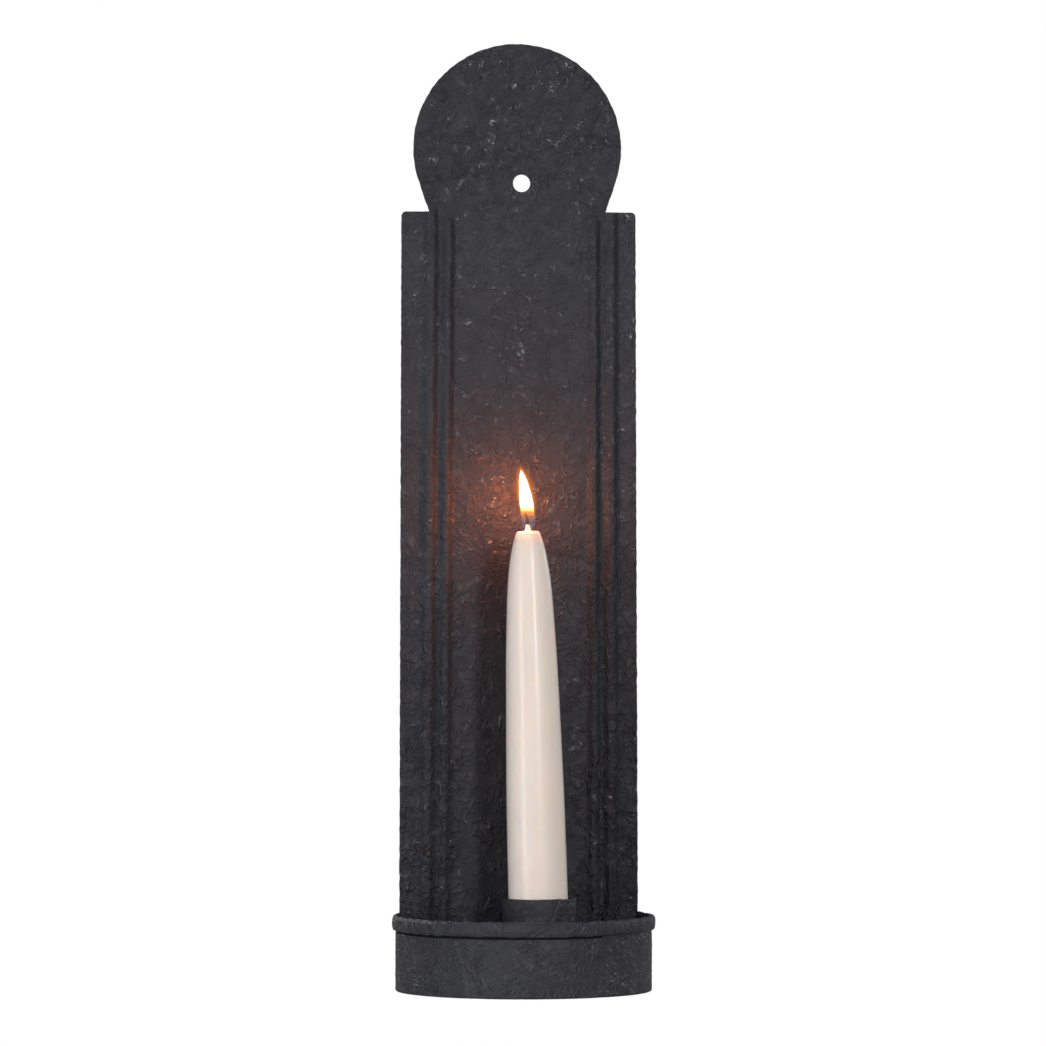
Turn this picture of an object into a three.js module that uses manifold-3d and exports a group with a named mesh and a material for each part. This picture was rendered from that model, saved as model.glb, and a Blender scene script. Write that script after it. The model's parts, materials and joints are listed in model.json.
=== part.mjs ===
// Wall sconce for one taper candle: a ribbed sheet-metal back plate with a round head and a hanging hole,
// a round-fronted drip tray with a hemmed rim, a candle cup, and a leaning taper candle that lifts out.
// Millimetres. +X is the viewer's right, -Y is the front, +Z is up. The wall is the plane y = 0.
// The origin is the centre of the hanging hole on the wall plane.

import * as THREE from "three";
import { mergeVertices } from "three/addons/utils/BufferGeometryUtils.js";
import Module from "manifold-3d";

const wasm = await Module();
wasm.setup();

// ---- Driving dimensions. Heights are above the underside of the tray, x is from the centre line. ----

const PLATE_THICKNESS = 1.0;
const PLATE_BOTTOM_WIDTH = 90.6;
const PLATE_TOP_WIDTH = 88.8;
const SHOULDER_HEIGHT = 292.3;
const SHOULDER_CORNER_RADIUS = 1.7;
const HEAD_RADIUS = 39.4;
const HEAD_X = -0.5;
const HEAD_CENTRE_HEIGHT = 316.2;
const NECK_HALF_WIDTH = 33.4;

const HOLE_RADIUS = 3.3;
const HOLE_X = 1.1;
const HOLE_HEIGHT = 303.1;

// Each side has two rolled ribs, with a shallow valley between them.
const RIB_HEIGHT = 1.4;
const RIB_VALLEY_HEIGHT = 0.3;
const RIB_INNER_FOOT = 25.0;
const RIB_INNER_CREST = 27.8;
const RIB_VALLEY = 30.8;
const RIB_OUTER_CREST = 33.8;
const RIB_OUTER_FOOT = 38.0;
const RIB_CREST_WIDTH = 0.8;
const RIB_START_HEIGHT = 4.0;
const RIB_END_HEIGHT = 291.6;
const RIB_FADE_LENGTH = 3.6;

const TRAY_RADIUS = 48.0;
const TRAY_CENTRE_DEPTH = 17.0;
const TRAY_HEIGHT = 28.2;
const BAND_THICKNESS = 0.9;
const HEM_HEIGHT = 5.4;
const HEM_OUTSTAND = 1.2;
const FLOOR_THICKNESS = 0.9;
const FLOOR_UNDERSIDE = 0.4;

const CUP_OUTER_RADIUS = 13.7;
const CUP_WALL = 0.9;
const CUP_TOP = 35.3;
const CUP_X = 4.4;
const CUP_DEPTH = 30.0;

const CANDLE_BASE_RADIUS = 11.3;
const CANDLE_SHOULDER_HEIGHT = 172.0;
const CANDLE_LEAN_DEG = 1.6;
const CANDLE_BASE_OFFSET_X = 0.5;
const WICK_RADIUS = 0.8;
const WICK_BORE_RADIUS = 1.15;
const WICK_EXPOSED = 7.0;
const WICK_CURL = 0.9;

const SOLDER_LEG = 1.8;
const SEAM_GAP = 0.15;
const SEAT_GAP = 0.35;

const TRAY_SEGMENTS = 96;
const CUP_SEGMENTS = 56;
const CANDLE_SEGMENTS = 48;
const HEAD_SEGMENTS = 72;

// ---- Dimensions that follow from those above ----

const plateFront = -PLATE_THICKNESS;
const trayInnerRadius = TRAY_RADIUS - BAND_THICKNESS;
const floorTop = FLOOR_UNDERSIDE + FLOOR_THICKNESS;
const candleLean = THREE.MathUtils.degToRad(CANDLE_LEAN_DEG);
const candleBaseHeight = floorTop + SEAT_GAP + CANDLE_BASE_RADIUS * Math.sin(candleLean);
const candleLength = CANDLE_SHOULDER_HEIGHT - candleBaseHeight;

// ---- Solids ----

// A three.js geometry with its shared vertices merged, as a closed manifold solid.
function solidFrom(geometry) {
  geometry.deleteAttribute("normal");
  geometry.deleteAttribute("uv");
  const merged = mergeVertices(geometry, 1e-5);
  return new wasm.Manifold(new wasm.Mesh({
    numProp: 3,
    vertProperties: new Float32Array(merged.attributes.position.array),
    triVerts: new Uint32Array(merged.index.array),
  }));
}

function geometryFrom(solid) {
  const mesh = solid.getMesh();
  const geometry = new THREE.BufferGeometry();
  geometry.setAttribute("position", new THREE.BufferAttribute(mesh.vertProperties, 3));
  geometry.setIndex(new THREE.BufferAttribute(mesh.triVerts, 1));
  return geometry;
}

// A ring turned about +Z. The profile is a list of [radius, height] points, anticlockwise, and closes on itself.
function ring(profile, segments) {
  const points = [...profile, profile[0]].map(([radius, height]) => new THREE.Vector2(radius, height));
  return solidFrom(new THREE.LatheGeometry(points, segments).rotateX(Math.PI / 2));
}

function disc(radius, bottom, top, segments) {
  const geometry = new THREE.CylinderGeometry(radius, radius, top - bottom, segments);
  return solidFrom(geometry.rotateX(Math.PI / 2).translate(0, 0, (bottom + top) / 2));
}

// An outline of [x, z] points made into a slab that runs from the depth y = near to y = far.
function slab(outline, near, far, hole) {
  const shape = new THREE.Shape(outline.map(([x, z]) => new THREE.Vector2(x, z)));
  if (hole) {
    shape.holes.push(new THREE.Path(hole.map(([x, z]) => new THREE.Vector2(x, z))));
  }
  const geometry = new THREE.ExtrudeGeometry(shape, { depth: far - near, bevelEnabled: false });
  return solidFrom(geometry.rotateX(Math.PI / 2).translate(0, far, 0));
}

// An upright prism with a [x, y] outline.
function prism(outline, bottom, top) {
  const shape = new THREE.Shape(outline.map(([x, y]) => new THREE.Vector2(x, y)));
  const geometry = new THREE.ExtrudeGeometry(shape, { depth: top - bottom, bevelEnabled: false });
  return solidFrom(geometry.translate(0, 0, bottom));
}

// What is left of a solid in front of the plate, clear of it by the seam gap.
function inFrontOfPlate(solid) {
  const span = 4 * TRAY_RADIUS;
  const box = new THREE.BoxGeometry(span, span, span);
  box.translate(0, plateFront - SEAM_GAP + span / 2, 0);
  return solid.subtract(solidFrom(box));
}

// Points on an arc about (x, z), from one angle to the other, both ends included.
function arc(x, z, radius, from, to, steps) {
  return Array.from({ length: steps + 1 }, (_, i) => {
    const angle = from + ((to - from) * i) / steps;
    return [x + radius * Math.cos(angle), z + radius * Math.sin(angle)];
  });
}

// ---- Back plate ----

// How far the ribs stand forward of the flat at a distance from the centre line.
function ribProfile() {
  const half = RIB_CREST_WIDTH / 2;
  return [
    [RIB_INNER_FOOT, 0],
    [RIB_INNER_CREST - half, RIB_HEIGHT],
    [RIB_INNER_CREST + half, RIB_HEIGHT],
    [RIB_VALLEY, RIB_VALLEY_HEIGHT],
    [RIB_OUTER_CREST - half, RIB_HEIGHT],
    [RIB_OUTER_CREST + half, RIB_HEIGHT],
    [RIB_OUTER_FOOT, 0],
  ];
}

// A rectangle of formed sheet that is larger than the plate. It is a grid of stations in x and z, front and back.
function formedSheet() {
  const right = [...ribProfile(), [PLATE_BOTTOM_WIDTH, 0]];
  const left = right.map(([x, rise]) => [-x, rise]).reverse();
  const columns = [...left, ...right];
  const rows = [
    [-RIB_FADE_LENGTH, 0],
    [RIB_START_HEIGHT, 0],
    [RIB_START_HEIGHT + RIB_FADE_LENGTH, 1],
    [RIB_END_HEIGHT - RIB_FADE_LENGTH, 1],
    [RIB_END_HEIGHT, 0],
    [HEAD_CENTRE_HEIGHT + 2 * HEAD_RADIUS, 0],
  ];
  const positions = [];
  for (const offset of [0, -PLATE_THICKNESS]) {
    for (const [z, share] of rows) {
      for (const [x, rise] of columns) {
        positions.push(x, offset - rise * share, z);
      }
    }
  }
  const width = columns.length;
  const layer = width * rows.length;
  const indices = [];
  const quad = (a, b, c, d) => indices.push(a, b, c, a, c, d);
  for (let j = 0; j + 1 < rows.length; j += 1) {
    for (let i = 0; i + 1 < width; i += 1) {
      const a = j * width + i;
      quad(a, a + width, a + width + 1, a + 1);
      quad(layer + a, layer + a + 1, layer + a + width + 1, layer + a + width);
    }
    const west = j * width;
    const east = west + width - 1;
    quad(west, layer + west, layer + west + width, west + width);
    quad(east, east + width, layer + east + width, layer + east);
  }
  for (let i = 0; i + 1 < width; i += 1) {
    const top = layer - width + i;
    quad(i, i + 1, layer + i + 1, layer + i);
    quad(top, layer + top, layer + top + 1, top + 1);
  }
  const geometry = new THREE.BufferGeometry();
  geometry.setAttribute("position", new THREE.Float32BufferAttribute(positions, 3));
  geometry.setIndex(indices);
  return solidFrom(geometry);
}

// The plate's outline, anticlockwise from its lower left corner. The neck is tangent to the round head.
function plateOutline() {
  const bottomHalf = PLATE_BOTTOM_WIDTH / 2;
  const topHalf = PLATE_TOP_WIDTH / 2;
  const corner = SHOULDER_CORNER_RADIUS;
  const drop = HEAD_CENTRE_HEIGHT - SHOULDER_HEIGHT;
  const reach = Math.hypot(NECK_HALF_WIDTH, drop);
  const tangent = Math.acos(HEAD_RADIUS / reach) - Math.atan2(drop, NECK_HALF_WIDTH);
  return [
    [-bottomHalf, 0],
    [bottomHalf, 0],
    ...arc(topHalf - corner, SHOULDER_HEIGHT - corner, corner, 0, Math.PI / 2, 5),
    [HEAD_X + NECK_HALF_WIDTH, SHOULDER_HEIGHT],
    ...arc(HEAD_X, HEAD_CENTRE_HEIGHT, HEAD_RADIUS, tangent, Math.PI - tangent, HEAD_SEGMENTS),
    [HEAD_X - NECK_HALF_WIDTH, SHOULDER_HEIGHT],
    ...arc(corner - topHalf, SHOULDER_HEIGHT - corner, corner, Math.PI / 2, Math.PI, 5),
  ];
}

function backPlate() {
  const hole = arc(HOLE_X, HOLE_HEIGHT, HOLE_RADIUS, 0, 2 * Math.PI, 32).slice(1);
  const cutter = slab(plateOutline(), -HEAD_RADIUS, HEAD_RADIUS, hole);
  return geometryFrom(formedSheet().intersect(cutter));
}

// ---- Drip tray ----

// The band is one strip of sheet, bent round from one edge of the plate to the other. Its top edge is folded
// outwards and down into a hem with a rounded face. Points are [radius, height].
function bandProfile() {
  const hemBottom = TRAY_HEIGHT - HEM_HEIGHT;
  const outer = TRAY_RADIUS + HEM_OUTSTAND;
  return [
    [trayInnerRadius, 0],
    [TRAY_RADIUS, 0],
    [TRAY_RADIUS, hemBottom],
    [outer - 0.3, hemBottom + 0.2],
    [outer, hemBottom + 1.4],
    [outer, TRAY_HEIGHT - 1.6],
    [outer - 0.4, TRAY_HEIGHT - 0.5],
    [TRAY_RADIUS, TRAY_HEIGHT],
    [trayInnerRadius + 0.3, TRAY_HEIGHT],
    [trayInnerRadius, TRAY_HEIGHT - 0.4],
  ];
}

function trayBand() {
  const hoop = ring(bandProfile(), TRAY_SEGMENTS).translate([0, -TRAY_CENTRE_DEPTH, 0]);
  return geometryFrom(inFrontOfPlate(hoop));
}

function trayFloor() {
  const plate = disc(trayInnerRadius - SEAM_GAP, FLOOR_UNDERSIDE, floorTop, TRAY_SEGMENTS);
  return geometryFrom(inFrontOfPlate(plate.translate([0, -TRAY_CENTRE_DEPTH, 0])));
}

// The fillet of solder in the corner between the tray's floor and its band.
function bandSolder() {
  const outer = trayInnerRadius - SEAM_GAP;
  const bottom = floorTop + SEAM_GAP;
  const fillet = [[outer - SOLDER_LEG, bottom], [outer, bottom], [outer, bottom + SOLDER_LEG]];
  const hoop = ring(fillet, TRAY_SEGMENTS).translate([0, -TRAY_CENTRE_DEPTH, 0]);
  return geometryFrom(inFrontOfPlate(hoop));
}

// The straight fillet between the floor and the plate. It stops short of the curved one.
function plateSolder() {
  const back = plateFront - SEAM_GAP;
  const bottom = floorTop + SEAM_GAP;
  const toCentre = TRAY_CENTRE_DEPTH + back - SOLDER_LEG;
  const curvedFillet = trayInnerRadius - SEAM_GAP - SOLDER_LEG;
  const half = Math.sqrt(curvedFillet ** 2 - toCentre ** 2) - SOLDER_LEG;
  const shape = new THREE.Shape([
    new THREE.Vector2(back, bottom),
    new THREE.Vector2(back, bottom + SOLDER_LEG),
    new THREE.Vector2(back - SOLDER_LEG, bottom),
  ]);
  const geometry = new THREE.ExtrudeGeometry(shape, { depth: 2 * half, bevelEnabled: false });
  // The section's x and y become y and z, and the extrusion runs along x.
  geometry.applyMatrix4(new THREE.Matrix4().set(0, 0, 1, -half, 1, 0, 0, 0, 0, 1, 0, 0, 0, 0, 0, 1));
  return geometryFrom(solidFrom(geometry));
}

// The upright fillet between the plate and one end of the band; side is -1 on the left and 1 on the right.
function endSolder(side) {
  const back = plateFront - SEAM_GAP;
  const inner = trayInnerRadius - 2 * SEAM_GAP;
  const halfChord = (depth) => Math.sqrt(inner ** 2 - (TRAY_CENTRE_DEPTH + depth) ** 2);
  const outline = [
    [side * (halfChord(back) - SOLDER_LEG), back],
    [side * halfChord(back), back],
    [side * halfChord(back - SOLDER_LEG), back - SOLDER_LEG],
  ];
  const anticlockwise = side > 0 ? outline.reverse() : outline;
  const bottom = floorTop + SOLDER_LEG + 2 * SEAM_GAP;
  return geometryFrom(prism(anticlockwise, bottom, TRAY_HEIGHT - HEM_HEIGHT));
}

// ---- Candle cup ----

function candleCup() {
  const inner = CUP_OUTER_RADIUS - CUP_WALL;
  const edge = 0.25;
  return geometryFrom(ring([
    [inner, floorTop],
    [CUP_OUTER_RADIUS, floorTop],
    [CUP_OUTER_RADIUS, CUP_TOP - edge],
    [CUP_OUTER_RADIUS - edge, CUP_TOP],
    [inner + edge, CUP_TOP],
    [inner, CUP_TOP - edge],
  ], CUP_SEGMENTS).translate([CUP_X, -CUP_DEPTH, 0]));
}

function cupSolder() {
  const inner = CUP_OUTER_RADIUS + SEAM_GAP;
  const bottom = floorTop + SEAM_GAP;
  const fillet = [[inner, bottom], [inner + SOLDER_LEG, bottom], [inner, bottom + SOLDER_LEG]];
  return geometryFrom(ring(fillet, CUP_SEGMENTS).translate([CUP_X, -CUP_DEPTH, 0]));
}

// ---- Candle, upright about its own axis with its base at height 0 ----

// The taper's side, from the base to the edge of its flat top. Depths are below the top.
function candleSide() {
  const control = [
    [CANDLE_BASE_RADIUS, 0],
    [11.0, candleLength - 120],
    [10.3, candleLength - 76],
    [9.5, candleLength - 46],
    [8.5, candleLength - 25],
    [7.45, candleLength - 13.5],
    [5.8, candleLength - 4.9],
    [4.1, candleLength - 0.6],
  ].map(([radius, height]) => new THREE.Vector2(radius, height));
  return new THREE.SplineCurve(control).getPoints(22).map(({ x, y }) => [x, y]);
}

function candle() {
  const profile = [
    [WICK_BORE_RADIUS, 0],
    ...candleSide(),
    [3.2, candleLength],
    [2.1, candleLength + 0.2],
    [1.6, candleLength + 1.4],
    [1.35, candleLength + 2.9],
    [WICK_BORE_RADIUS, candleLength + 3.0],
  ];
  return geometryFrom(ring(profile, CANDLE_SEGMENTS));
}

// The wick runs the length of the candle and curls a little where it has burnt.
function wick() {
  const circle = new THREE.Shape(
    arc(0, 0, WICK_RADIUS, 0, 2 * Math.PI, 12).slice(1).map(([x, y]) => new THREE.Vector2(x, y)),
  );
  const top = candleLength + WICK_EXPOSED;
  const path = new THREE.CatmullRomCurve3([
    new THREE.Vector3(0, 0, 0.3),
    new THREE.Vector3(0, 0, candleLength / 2),
    new THREE.Vector3(0, 0, candleLength),
    new THREE.Vector3(0, 0, candleLength + 3.4),
    new THREE.Vector3(-WICK_CURL, 0, top),
  ]);
  const geometry = new THREE.ExtrudeGeometry(circle, { steps: 40, extrudePath: path, bevelEnabled: false });
  return geometryFrom(solidFrom(geometry));
}

// ---- Assembly ----

const paint = { color: 0x3d3c40, roughness: 0.55, metalness: 0.2 };
const wax = { color: 0xe6dacb, roughness: 0.45, metalness: 0.0 };
const char = { color: 0x1c1815, roughness: 0.9, metalness: 0.0 };

function mesh(name, geometry, look) {
  geometry.computeVertexNormals();
  const part = new THREE.Mesh(geometry, new THREE.MeshStandardMaterial(look));
  part.name = name;
  return part;
}

const sconce = new THREE.Group();
sconce.add(
  mesh("back_plate", backPlate(), paint),
  mesh("tray_band", trayBand(), paint),
  mesh("tray_floor", trayFloor(), paint),
  mesh("candle_cup", candleCup(), paint),
  mesh("cup_solder", cupSolder(), paint),
  mesh("band_solder", bandSolder(), paint),
  mesh("plate_solder", plateSolder(), paint),
  mesh("end_solder_left", endSolder(-1), paint),
  mesh("end_solder_right", endSolder(1), paint),
);

const taper = new THREE.Group();
taper.position.set(CUP_X + CANDLE_BASE_OFFSET_X, -CUP_DEPTH, candleBaseHeight);
taper.rotation.y = -candleLean;
taper.add(mesh("candle", candle(), wax), mesh("wick", wick(), char));

const group = new THREE.Group();
sconce.add(taper);
sconce.position.set(-HOLE_X, 0, -HOLE_HEIGHT);
group.add(sconce);

export default group;
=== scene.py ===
"""Looks for a wall sconce: black crinkled paint on sheet metal, and a lit ivory taper candle in its cup.

Shapes are worked out in millimetres from the plate's centre line and the tray's underside, which are read
from the frame, and are then moved into the frame in metres.
"""

import json
import math

import bpy
import numpy as np
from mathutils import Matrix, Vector


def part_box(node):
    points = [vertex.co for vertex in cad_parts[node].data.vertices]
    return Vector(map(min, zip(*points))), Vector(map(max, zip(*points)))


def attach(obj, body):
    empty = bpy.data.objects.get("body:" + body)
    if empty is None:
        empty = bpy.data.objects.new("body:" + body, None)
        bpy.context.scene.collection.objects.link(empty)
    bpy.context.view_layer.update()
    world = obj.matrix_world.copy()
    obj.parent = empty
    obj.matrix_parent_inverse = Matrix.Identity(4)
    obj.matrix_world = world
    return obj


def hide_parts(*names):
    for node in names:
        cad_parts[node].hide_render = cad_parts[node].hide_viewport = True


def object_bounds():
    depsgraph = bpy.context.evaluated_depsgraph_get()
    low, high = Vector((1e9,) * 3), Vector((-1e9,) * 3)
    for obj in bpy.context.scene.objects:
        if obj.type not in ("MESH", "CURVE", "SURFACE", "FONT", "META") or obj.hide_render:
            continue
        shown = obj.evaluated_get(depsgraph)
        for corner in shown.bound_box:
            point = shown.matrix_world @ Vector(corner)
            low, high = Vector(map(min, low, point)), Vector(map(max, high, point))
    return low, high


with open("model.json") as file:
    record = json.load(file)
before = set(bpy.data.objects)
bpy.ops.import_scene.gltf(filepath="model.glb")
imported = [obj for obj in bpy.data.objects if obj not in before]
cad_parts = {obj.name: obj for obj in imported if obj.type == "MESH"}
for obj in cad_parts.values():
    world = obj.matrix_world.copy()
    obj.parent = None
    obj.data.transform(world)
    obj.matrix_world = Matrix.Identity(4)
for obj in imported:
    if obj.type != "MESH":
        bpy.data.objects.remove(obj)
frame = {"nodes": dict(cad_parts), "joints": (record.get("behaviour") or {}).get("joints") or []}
cad_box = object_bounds()

MM = 0.001

# ---- Driving sizes in mm. Heights are above the tray's underside, x is from the centre line. ----

PLATE_THICKNESS = 1.0
PLATE_BOTTOM_HALF = 45.3
PLATE_TOP_HALF = 44.4
SHOULDER_HEIGHT = 292.3
SHOULDER_CORNER = 1.7
HEAD_RADIUS = 39.4
HEAD_X = -0.5
HEAD_HEIGHT = 316.2
NECK_HALF = 33.4
HOLE_RADIUS = 3.3
HOLE_X = 1.1
HOLE_HEIGHT = 303.1
SHOULDER_TURNS = (25, 50, 72, 90)
EDGE_WANDER = 0.16

# Each rib from the centre outwards: where it starts to rise, is up, starts to fall and is down.
RIBS = ((25.5, 27.3, 28.9, 30.6), (31.6, 33.5, 35.5, 37.6))
RIB_HEIGHT = 1.6
RIB_LEAN = 2.2
RIB_START = 3.0
RIB_ENDS = (293.5, 296.0)
RIB_FADE = 6.5

PRESSED_FOLDS = (
    # start x and z, end x and z, height, half width
    (-37.0, 303.2, -20.0, 307.4, 1.0, 1.0),
    (30.0, 319.2, 39.0, 317.8, 0.7, 0.9),
    (16.3, 343.0, 21.6, 348.2, 0.9, 1.0),
    (27.0, 331.5, 30.2, 336.4, 0.7, 0.9),
    (-28.4, 331.2, -28.4, 324.0, 0.6, 0.8),
    (-15.4, 343.0, -14.8, 346.6, 0.9, 1.1),
    (-31.0, 336.8, -28.6, 335.2, 0.9, 1.1),
    (5.0, 328.2, 17.4, 329.2, 0.5, 0.8),
    (-4.8, 318.6, 3.8, 315.4, 0.45, 0.7),
    (3.8, 315.4, 6.2, 319.0, 0.6, 0.7),
    (-25.0, 65.4, -17.2, 60.8, 0.5, 0.7),
    (20.0, 37.0, 25.6, 33.2, 0.6, 0.7),
    (36.4, 45.0, 38.0, 33.0, 1.3, 1.5),
    (39.5, 44.0, 43.6, 33.0, 1.0, 1.3),
)

TRAY_RADIUS = 48.0
TRAY_DEPTH = 17.0
TRAY_HEIGHT = 28.2
BAND_THICKNESS = 0.9
HEM_HEIGHT = 5.4
HEM_OUTSTAND = 1.2
SLIT_DROP = 0.95
SLIT_DEPTH = 0.3
SLIT_STRETCHES = slice(4, 8)
LAP_RISE = 0.9
FLOOR_TOP = 1.3
SEAM_ANGLE = math.radians(30)
SEAM_GAP = 0.15
TRAY_INNER = TRAY_RADIUS - BAND_THICKNESS
TRAY_BACK = PLATE_THICKNESS + SEAM_GAP
FILLET_SIZE = 2.0

CUP_RADIUS = 13.7
CUP_WALL = 0.9
CUP_TOP = 35.3

CANDLE_BASE_RADIUS = 11.3
CANDLE_SHOULDER_HEIGHT = 172.0
WICK_CURL = 0.9
WICK_STRAND_RADIUS = 0.3

# The spacing of the vertices on sheet metal, and the angle above which an edge is shown sharp.
CELL = 0.8
SHARP_ANGLE = math.radians(62)
FLOOR_GLOW = 0.7

# ---- The frame's own places ----

plate_low, plate_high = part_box("back_plate")
ORIGIN = np.array([(plate_low[0] + plate_high[0]) / 2, 0.0, plate_low[2]])
cup_low, cup_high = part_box("candle_cup")
CUP_X = ((cup_low[0] + cup_high[0]) / 2 - ORIGIN[0]) / MM
CUP_DEPTH = -(cup_low[1] + cup_high[1]) / 2 / MM
candle_low, candle_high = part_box("candle")
lift_axis = Vector(frame["joints"][0]["axis"]).normalized()


# ---- Smooth noise ----

def hashed(i, j, seed):
    """A repeatable number from 0 to 1 for each lattice point."""
    mask = np.uint64(0xFFFFFFFF)
    mixed = i.astype(np.uint64) * np.uint64(374761393)
    mixed += j.astype(np.uint64) * np.uint64(668265263) + np.uint64(seed * 2246822519)
    mixed &= mask
    mixed = ((mixed ^ (mixed >> np.uint64(13))) * np.uint64(1274126177)) & mask
    mixed = ((mixed ^ (mixed >> np.uint64(15))) * np.uint64(2246822519)) & mask
    return ((mixed ^ (mixed >> np.uint64(16))) & np.uint64(0xFFFF)).astype(float) / 65535


def waves(x, y, seed):
    """Gradient noise, about -1 to 1, with one feature per unit."""
    i, j = np.floor(x).astype(np.int64), np.floor(y).astype(np.int64)
    fx, fy = x - i, y - j
    u = fx * fx * fx * (fx * (fx * 6 - 15) + 10)
    v = fy * fy * fy * (fy * (fy * 6 - 15) + 10)

    def corner(dx, dy):
        angle = 2 * math.pi * hashed(i + dx, j + dy, seed)
        return np.cos(angle) * (fx - dx) + np.sin(angle) * (fy - dy)

    low = corner(0, 0) * (1 - u) + corner(1, 0) * u
    high = corner(0, 1) * (1 - u) + corner(1, 1) * u
    return 1.5 * (low * (1 - v) + high * v)


def crease(x, y, width, seed):
    """1 along curling lines and 0 between them."""
    return np.exp(-((waves(x, y, seed) / width) ** 2))


def crinkle(a, b, seed):
    """The height in mm of the paint's folds and lumps at the surface point (a, b) in mm."""
    warp_a = 2.6 * waves(a / 8, b / 8, seed + 1) + 0.9 * waves(a / 3, b / 3, seed + 2)
    warp_b = 2.6 * waves(a / 8, b / 8, seed + 3) + 0.9 * waves(a / 3, b / 3, seed + 4)
    p, q = a + warp_a, b + warp_b
    long_folds = crease(p / 7.5, q / 11, 0.13, seed + 5)
    long_share = np.clip(0.35 + 1.3 * waves(a / 17, b / 21, seed + 6), 0, 1)
    short_folds = crease(p / 4.6, q / 5.4, 0.17, seed + 7)
    short_share = np.clip(0.25 + 1.4 * waves(a / 12, b / 12, seed + 8), 0, 1)
    swell = waves(p / 10, q / 13, seed + 9)
    return 0.19 * long_folds * long_share + 0.13 * short_folds * short_share + 0.09 * swell


def eased(value, low, high):
    """0 below low, 1 above high, and a smooth turn between."""
    share = np.clip((value - low) / (high - low), 0, 1)
    return share * share * (3 - 2 * share)


# ---- Mesh helpers ----

def piece(name, vertices, faces, material, body="sconce", replaces=()):
    """A smooth-shaded object from vertices in mm, placed in the frame, riding on a body."""
    mesh = bpy.data.meshes.new(name)
    placed = np.asarray(vertices, float) * MM + ORIGIN
    mesh.from_pydata(placed.tolist(), [], faces)
    mesh.update()
    mesh.polygons.foreach_set("use_smooth", [True] * len(mesh.polygons))
    mesh.set_sharp_from_angle(angle=SHARP_ANGLE)
    mesh.materials.append(material)
    thing = bpy.data.objects.new(name, mesh)
    bpy.context.scene.collection.objects.link(thing)
    if replaces:
        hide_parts(*replaces)
    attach(thing, body)
    return thing


def lofted(rings, closed_path=False):
    """(vertices, faces) through closed sections of equal length. An open path gets flat ends."""
    rings = np.asarray(rings, float)
    count, around = rings.shape[:2]
    faces = []
    for i in range(count if closed_path else count - 1):
        here, there = i * around, (i + 1) % count * around
        for j in range(around):
            k = (j + 1) % around
            faces.append((here + j, here + k, there + k, there + j))
    if not closed_path:
        faces.append(tuple(reversed(range(around))))
        faces.append(tuple(range((count - 1) * around, count * around)))
    return rings.reshape(-1, 3), faces


def resampled(points, spacing):
    """Points at nearly equal spacing along a polyline."""
    steps = np.hypot(*np.diff(points, axis=0).T)
    along = np.concatenate([[0], np.cumsum(steps)])
    count = max(2, round(along[-1] / spacing))
    wanted = np.linspace(0, along[-1], count + 1)
    return np.stack([np.interp(wanted, along, points[:, k]) for k in range(2)], 1)


def turned_section(profile, angle, centre_x, depth):
    """A [radius, height] profile stood up at an angle from the front, about an upright axis."""
    radius, height = profile[:, 0], profile[:, 1]
    x = centre_x + radius * math.sin(angle)
    y = -depth - radius * math.cos(angle)
    return np.stack([x, y, height], 1)


def profile_normals(profile):
    """Unit normals of a closed [radius, height] profile that runs anticlockwise."""
    step = np.roll(profile, -1, 0) - np.roll(profile, 1, 0)
    normal = np.stack([step[:, 1], -step[:, 0]], 1)
    return normal / np.linalg.norm(normal, axis=1, keepdims=True)


# ---- Materials ----

def set_range(node, low, high, out_low, out_high):
    """Sets a Map Range node's four constants."""
    numbers = (low, high, out_low, out_high)
    for key, number in zip(("From Min", "From Max", "To Min", "To Max"), numbers):
        node.inputs[key].default_value = number


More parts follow.
